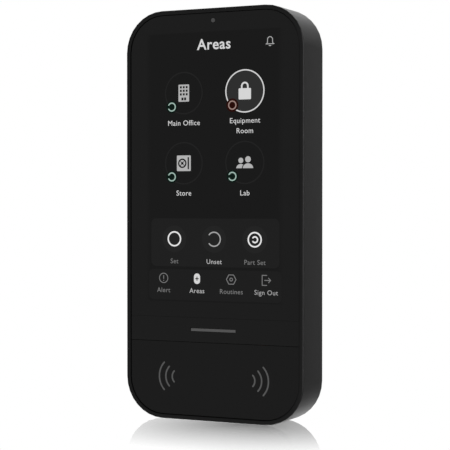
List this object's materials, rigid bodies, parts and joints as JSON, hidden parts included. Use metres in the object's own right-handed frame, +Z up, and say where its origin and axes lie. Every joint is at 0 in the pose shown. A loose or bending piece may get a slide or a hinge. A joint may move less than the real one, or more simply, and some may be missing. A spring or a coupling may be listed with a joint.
{
  "type": "wall-mounted touch screen alarm keypad",
  "caption": "Slim portrait wall keypad for an alarm: glass touch screen, status light bar, card reader below, and a wall bracket it slides off.",
  "frame": {"origin": "centre of the bracket's wall face, on the wall plane at the keypad's middle height and width", "axes": "+Z up along the keypad's height, +Y into the wall, +X to the right of someone facing the screen; the screen faces -Y"},
  "size_m": [0.08, 0.0215, 0.168],
  "materials": {
    "case_plastic": "fine satin black plastic",
    "bracket_plastic": "matte dark grey plastic",
    "inner_plastic": "matte grey plastic",
    "panel_glass": "black-printed cover glass, glossy",
    "screen_layers": "dark display glass",
    "cover_plastic": "low-gloss black plastic",
    "light_guide": "milky clear plastic",
    "steel": "plated steel",
    "circuit_board": "green solder mask",
    "flex_film": "amber polyimide film",
    "black_foam": "black adhesive foam",
    "copper": "copper",
    "black_chip": "black moulded plastic",
    "cell_wrap": "printed-free grey cell wrap",
    "terminal_green": "green terminal plastic"
  },
  "bodies": {
    "bracket": {"mounting_bracket": "bracket_plastic"},
    "keypad": {"backlight_unit": "steel", "battery_1": "cell_wrap", "battery_2": "cell_wrap", "battery_door": "case_plastic", "battery_door_screw_1": "steel", "battery_door_screw_2": "steel", "battery_spring_1": "steel", "battery_spring_2": "steel", "battery_tray": "inner_plastic", "board_screw_1": "steel", "board_screw_2": "steel", "board_screw_3": "steel", "board_screw_4": "steel", "bridge_contact": "steel", "case_screw_1": "steel", "case_screw_2": "steel", "case_screw_3": "steel", "case_screw_4": "steel", "chassis": "inner_plastic", "display_connector": "black_chip", "display_flex": "flex_film", "ferrite_sheet": "black_foam", "glass_tape": "black_foam", "indicator_led_board": "circuit_board", "indicator_light_bar": "light_guide", "indicator_strip": "panel_glass", "lcd_panel": "screen_layers", "light_sensor_board": "circuit_board", "light_sensor_window": "light_guide", "main_board": "circuit_board", "negative_contact": "steel", "positive_contact": "steel", "power_switch": "black_chip", "processor_shield": "steel", "radio_antenna": "copper", "radio_module": "black_chip", "reader_antenna_board": "circuit_board", "reader_antenna_coil": "copper", "reader_connector": "black_chip", "reader_cover": "cover_plastic", "reader_cover_tape": "black_foam", "reader_flex": "flex_film", "rear_housing": "case_plastic", "sounder": "black_chip", "tamper_spring": "steel", "tamper_switch": "black_chip", "terminal_header": "terminal_green", "touch_connector": "black_chip", "touch_flex": "flex_film", "touch_glass": "panel_glass"},
    "locking_washer": {"locking_screw_washer": "black_chip"},
    "locking_screw": {"locking_screw": "steel"},
    "tamper_button": {"tamper_button": "inner_plastic"},
    "power_button": {"power_button": "inner_plastic"},
    "terminal_plug": {"terminal_plug": "terminal_green", "terminal_screw_1": "steel", "terminal_screw_2": "steel"}
  },
  "joints": [
    {"name": "keypad_slide", "type": "slide", "parent": "bracket", "child": "keypad", "axis": [0, 0, 1], "range_m": [0, 0.008]},
    {"name": "locking_screw_travel", "type": "slide", "parent": "bracket", "child": "locking_washer", "axis": [0, 0, -1], "range_m": [0, 0.0035]},
    {"name": "locking_screw_turn", "type": "hinge", "parent": "locking_washer", "child": "locking_screw", "pos_m": [0, -0.0042, -0.0817], "axis": [0, 0, -1], "range_deg": [0, 1800]},
    {"name": "tamper_press", "type": "slide", "parent": "keypad", "child": "tamper_button", "axis": [0, -1, 0], "range_m": [0, 0.0012], "stiffness_N_per_m": 300, "deforming": ["tamper_spring"]},
    {"name": "power_press", "type": "slide", "parent": "keypad", "child": "power_button", "axis": [0, -1, 0], "range_m": [0, 0.0005], "stiffness_N_per_m": 800},
    {"name": "terminal_unplug", "type": "slide", "parent": "keypad", "child": "terminal_plug", "axis": [0, 1, 0], "range_m": [0, 0.008]}
  ],
  "couplings": [
    {"joint": "locking_screw_turn", "follows": "locking_screw_travel", "rad_per_m": 8976}
  ]
}
